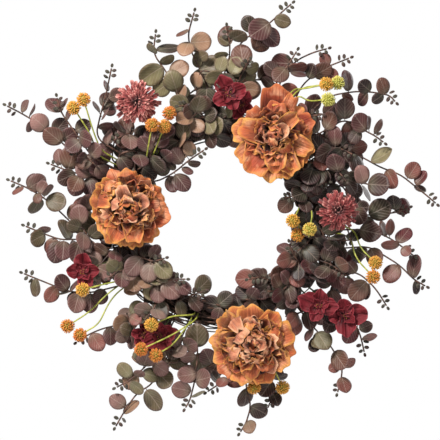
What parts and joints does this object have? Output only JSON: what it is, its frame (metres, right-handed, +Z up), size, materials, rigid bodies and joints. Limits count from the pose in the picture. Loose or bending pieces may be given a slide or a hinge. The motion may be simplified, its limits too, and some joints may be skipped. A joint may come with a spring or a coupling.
{
  "type": "artificial flower door wreath",
  "caption": "Round twig-ring door wreath with wired eucalyptus picks, large peonies, chrysanthemums, blossom clusters and pompom sprays, hung by a wire loop.",
  "frame": {"origin": "the point where the door hook bears under the top of the hanging loop, taken on the door plane", "axes": "+Z up, +Y out of the back into the door, -Y is the front, +X to the right when looking at the front"},
  "size_m": [0.7201, 0.126, 0.7172],
  "materials": {
    "ring_twig": "dry dark brown vine and twig bark, matt",
    "florist_wire": "dark brown paper-covered florist wire",
    "calyx_green": "moulded olive green, matt",
    "peony_petal": "burnt orange and coral polyester silk with peach and pink centres",
    "mum_petal": "coral red polyester silk quills with pale pink tips",
    "blossom_petal": "burgundy velvet-touch fabric",
    "pompom_head": "moulded spiky head, orange over yellow green",
    "pompom_stem": "moulded yellow green stem",
    "eucalyptus_leaf": "waxed polyester leaf, plum, mauve, sage and brown by pick",
    "eucalyptus_stem": "dark brown moulded stem on a wire core",
    "flower_stem": "dark olive plastic on a wire core"
  },
  "bodies": {
    "root": {"binding_wires": "florist_wire", "blossoms_left_petals": "blossom_petal", "blossoms_left_stems": "flower_stem", "blossoms_lower_left_petals": "blossom_petal", "blossoms_lower_left_stems": "flower_stem", "blossoms_lower_right_petals": "blossom_petal", "blossoms_lower_right_stems": "flower_stem", "blossoms_top_petals": "blossom_petal", "blossoms_top_stems": "flower_stem", "eucalyptus_bottom_leaves": "eucalyptus_leaf", "eucalyptus_bottom_stems": "eucalyptus_stem", "eucalyptus_left_leaves": "eucalyptus_leaf", "eucalyptus_left_stems": "eucalyptus_stem", "eucalyptus_lower_left_leaves": "eucalyptus_leaf", "eucalyptus_lower_left_stems": "eucalyptus_stem", "eucalyptus_lower_right_leaves": "eucalyptus_leaf", "eucalyptus_lower_right_stems": "eucalyptus_stem", "eucalyptus_right_leaves": "eucalyptus_leaf", "eucalyptus_right_stems": "eucalyptus_stem", "eucalyptus_top_leaves": "eucalyptus_leaf", "eucalyptus_top_stems": "eucalyptus_stem", "eucalyptus_upper_left_leaves": "eucalyptus_leaf", "eucalyptus_upper_left_stems": "eucalyptus_stem", "eucalyptus_upper_right_leaves": "eucalyptus_leaf", "eucalyptus_upper_right_stems": "eucalyptus_stem", "loop_eyelets": "florist_wire", "mum_right_stem": "flower_stem", "mum_upper_left_stem": "flower_stem", "peony_bottom_stem": "flower_stem", "peony_left_stem": "flower_stem", "peony_upper_right_stem": "flower_stem", "pompoms_lower_left_heads": "pompom_head", "pompoms_lower_left_stems": "pompom_stem", "pompoms_right_heads": "pompom_head", "pompoms_right_stems": "pompom_stem", "pompoms_upper_left_heads": "pompom_head", "pompoms_upper_left_stems": "pompom_stem", "pompoms_upper_right_heads": "pompom_head", "pompoms_upper_right_stems": "pompom_stem", "ring_core_hoop": "ring_twig", "ring_twigs": "ring_twig"},
    "peony_left_head": {"peony_left_calyx": "calyx_green", "peony_left_centre_petals": "peony_petal", "peony_left_middle_petals": "peony_petal", "peony_left_outer_petals": "peony_petal"},
    "peony_upper_right_head": {"peony_upper_right_calyx": "calyx_green", "peony_upper_right_centre_petals": "peony_petal", "peony_upper_right_middle_petals": "peony_petal", "peony_upper_right_outer_petals": "peony_petal"},
    "peony_bottom_head": {"peony_bottom_calyx": "calyx_green", "peony_bottom_centre_petals": "peony_petal", "peony_bottom_middle_petals": "peony_petal", "peony_bottom_outer_petals": "peony_petal"},
    "mum_upper_left_head": {"mum_upper_left_calyx": "calyx_green", "mum_upper_left_centre_petals": "mum_petal", "mum_upper_left_outer_petals": "mum_petal"},
    "mum_right_head": {"mum_right_calyx": "calyx_green", "mum_right_centre_petals": "mum_petal", "mum_right_outer_petals": "mum_petal"},
    "hanging_loop": {"hanging_loop": "florist_wire"}
  },
  "joints": [
    {"name": "peony_left_tilt", "type": "hinge", "parent": "root", "child": "peony_left_head", "pos_m": [-0.149, -0.07, -0.17156], "axis": [1, 0, 0], "range_deg": [-12, 12]},
    {"name": "peony_upper_right_tilt", "type": "hinge", "parent": "root", "child": "peony_upper_right_head", "pos_m": [0.087, -0.07, -0.05356], "axis": [1, 0, 0], "range_deg": [-12, 12]},
    {"name": "peony_bottom_tilt", "type": "hinge", "parent": "root", "child": "peony_bottom_head", "pos_m": [0.052, -0.07, -0.39456], "axis": [1, 0, 0], "range_deg": [-12, 12]},
    {"name": "mum_upper_left_tilt", "type": "hinge", "parent": "root", "child": "mum_upper_left_head", "pos_m": [-0.136, -0.07, 0.00044], "axis": [1, 0, 0], "range_deg": [-12, 12]},
    {"name": "mum_right_tilt", "type": "hinge", "parent": "root", "child": "mum_right_head", "pos_m": [0.19, -0.07, -0.17656], "axis": [1, 0, 0], "range_deg": [-12, 12]},
    {"name": "loop_swing", "type": "hinge", "parent": "root", "child": "hanging_loop", "pos_m": [0, -0.00564, -0.0178], "axis": [-1, 0, 0], "range_deg": [0, 80]}
  ]
}
